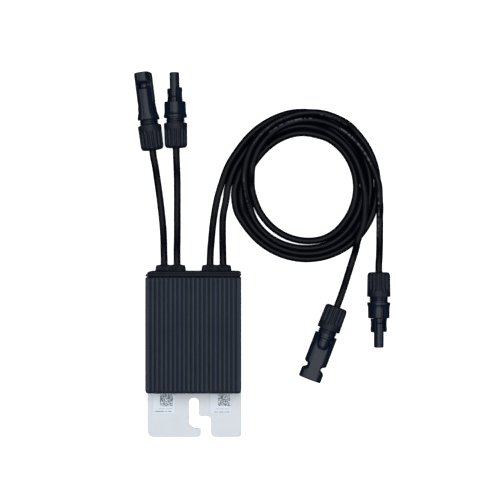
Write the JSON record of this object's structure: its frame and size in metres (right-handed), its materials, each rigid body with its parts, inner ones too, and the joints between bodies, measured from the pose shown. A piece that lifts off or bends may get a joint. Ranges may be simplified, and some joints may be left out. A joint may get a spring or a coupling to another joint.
{
  "type": "micro inverter",
  "caption": "Ribbed black power unit on a slotted bracket, with short input leads and coiled output leads ending in solar connectors.",
  "frame": {"origin": "middle of the box round the housing, bracket and grommets, on the surface that the unit lies on", "axes": "+X across the housing, +Y towards the end where the leads leave, +Z out of the ribbed face"},
  "size_m": [0.2037, 0.2907, 0.0255],
  "materials": {
    "housing_plastic": "moulded, fine grain",
    "rubber": "moulded rubber",
    "steel": "zinc plated",
    "coated_sheet": "pale grey coated sheet",
    "label_paper": "satin film label",
    "resin": "cast resin",
    "circuit_board": "solder mask",
    "brass": "plain",
    "ferrite": "sintered",
    "copper": "enamelled copper wire",
    "can_aluminium": "plain",
    "epoxy": "moulded epoxy",
    "cable_jacket": "satin cross-linked jacket",
    "connector_plastic": "semi-matte",
    "nut_plastic": "matte",
    "nylon": "plain",
    "tinned_copper": "tin plated"
  },
  "bodies": {
    "root": {"housing_body": "housing_plastic", "end_cap": "housing_plastic", "cap_gasket": "rubber", "input_grommet": "rubber", "output_grommet": "rubber", "cap_screw_left": "steel", "cap_screw_right": "steel", "mounting_bracket": "coated_sheet", "bracket_rivet_left": "steel", "bracket_rivet_right": "steel", "left_label": "label_paper", "right_label": "label_paper", "potting_compound": "resin", "circuit_board": "circuit_board", "input_terminal_left": "brass", "input_terminal_right": "brass", "output_terminal_left": "brass", "output_terminal_right": "brass", "inductor_core": "ferrite", "inductor_winding": "copper", "capacitor_left": "can_aluminium", "capacitor_right": "can_aluminium", "transistor_left": "epoxy", "transistor_right": "epoxy", "heat_spreader": "can_aluminium", "control_module": "steel", "input_lead_socket": "cable_jacket", "input_lead_plug": "cable_jacket", "output_lead_left": "cable_jacket", "output_lead_right": "cable_jacket", "output_tail_socket": "cable_jacket", "output_tail_plug": "cable_jacket", "output_coil": "cable_jacket", "input_socket_body": "connector_plastic", "input_socket_cable_seal": "rubber", "input_socket_contact": "tinned_copper", "input_plug_body": "connector_plastic", "input_plug_cable_seal": "rubber", "input_plug_contact": "tinned_copper", "input_plug_front_seal": "rubber", "output_socket_body": "connector_plastic", "output_socket_cable_seal": "rubber", "output_socket_contact": "tinned_copper", "output_plug_body": "connector_plastic", "output_plug_cable_seal": "rubber", "output_plug_contact": "tinned_copper", "output_plug_front_seal": "rubber"},
    "input_socket_collet": {"input_socket_collet": "nylon"},
    "input_socket_gland_nut": {"input_socket_gland_nut": "nut_plastic"},
    "input_plug_arm_left": {"input_plug_arm_left": "connector_plastic"},
    "input_plug_arm_right": {"input_plug_arm_right": "connector_plastic"},
    "input_plug_collet": {"input_plug_collet": "nylon"},
    "input_plug_gland_nut": {"input_plug_gland_nut": "nut_plastic"},
    "output_socket_collet": {"output_socket_collet": "nylon"},
    "output_socket_gland_nut": {"output_socket_gland_nut": "nut_plastic"},
    "output_plug_arm_left": {"output_plug_arm_left": "connector_plastic"},
    "output_plug_arm_right": {"output_plug_arm_right": "connector_plastic"},
    "output_plug_collet": {"output_plug_collet": "nylon"},
    "output_plug_gland_nut": {"output_plug_gland_nut": "nut_plastic"}
  },
  "joints": [
    {"name": "input_socket_collet_slide", "type": "slide", "parent": "root", "child": "input_socket_collet", "axis": [0.1253, -0.9921, 0], "range_m": [0, 0.0046]},
    {"name": "input_socket_nut_turn", "type": "hinge", "parent": "input_socket_collet", "child": "input_socket_gland_nut", "pos_m": [-0.03285, 0.15995, 0.0098], "axis": [0.1253, -0.9921, 0], "range_deg": [0, 1080]},
    {"name": "input_plug_arm_left_flex", "type": "hinge", "parent": "root", "child": "input_plug_arm_left", "pos_m": [-0.01124, 0.19858, 0.01404], "axis": [-0.7429, -0.0182, 0.6691], "range_deg": [0, 4], "stiffness_Nm_per_rad": 0.5},
    {"name": "input_plug_arm_right_flex", "type": "hinge", "parent": "root", "child": "input_plug_arm_right", "pos_m": [-0.01886, 0.1984, 0.00556], "axis": [0.7429, 0.0182, -0.6691], "range_deg": [0, 4], "stiffness_Nm_per_rad": 0.5},
    {"name": "input_plug_collet_slide", "type": "slide", "parent": "root", "child": "input_plug_collet", "axis": [0.0244, -0.9997, 0], "range_m": [0, 0.0046]},
    {"name": "input_plug_nut_turn", "type": "hinge", "parent": "input_plug_collet", "child": "input_plug_gland_nut", "pos_m": [-0.01415, 0.1617, 0.0098], "axis": [0.0244, -0.9997, 0], "range_deg": [0, 1080]},
    {"name": "output_socket_collet_slide", "type": "slide", "parent": "root", "child": "output_socket_collet", "axis": [0.3559, 0.9345, 0], "range_m": [0, 0.0046]},
    {"name": "output_socket_nut_turn", "type": "hinge", "parent": "output_socket_collet", "child": "output_socket_gland_nut", "pos_m": [0.11345, 0.0356, 0.0098], "axis": [0.3559, 0.9345, 0], "range_deg": [0, 1080]},
    {"name": "output_plug_arm_left_flex", "type": "hinge", "parent": "root", "child": "output_plug_arm_left", "pos_m": [0.14193, 0.0262, 0.01307], "axis": [0.5736, 0, 0.8192], "range_deg": [0, 4], "stiffness_Nm_per_rad": 0.5},
    {"name": "output_plug_arm_right_flex", "type": "hinge", "parent": "root", "child": "output_plug_arm_right", "pos_m": [0.15127, 0.0262, 0.00653], "axis": [-0.5736, 0, -0.8192], "range_deg": [0, 4], "stiffness_Nm_per_rad": 0.5},
    {"name": "output_plug_collet_slide", "type": "slide", "parent": "root", "child": "output_plug_collet", "axis": [0, 1, 0], "range_m": [0, 0.0046]},
    {"name": "output_plug_nut_turn", "type": "hinge", "parent": "output_plug_collet", "child": "output_plug_gland_nut", "pos_m": [0.1466, 0.063, 0.0098], "axis": [0, 1, 0], "range_deg": [0, 1080]}
  ],
  "couplings": [
    {"joint": "input_socket_collet_slide", "follows": "input_socket_nut_turn", "m_per_rad": 0.00023873},
    {"joint": "input_plug_collet_slide", "follows": "input_plug_nut_turn", "m_per_rad": 0.00023873},
    {"joint": "output_socket_collet_slide", "follows": "output_socket_nut_turn", "m_per_rad": 0.00023873},
    {"joint": "output_plug_collet_slide", "follows": "output_plug_nut_turn", "m_per_rad": 0.00023873}
  ]
}
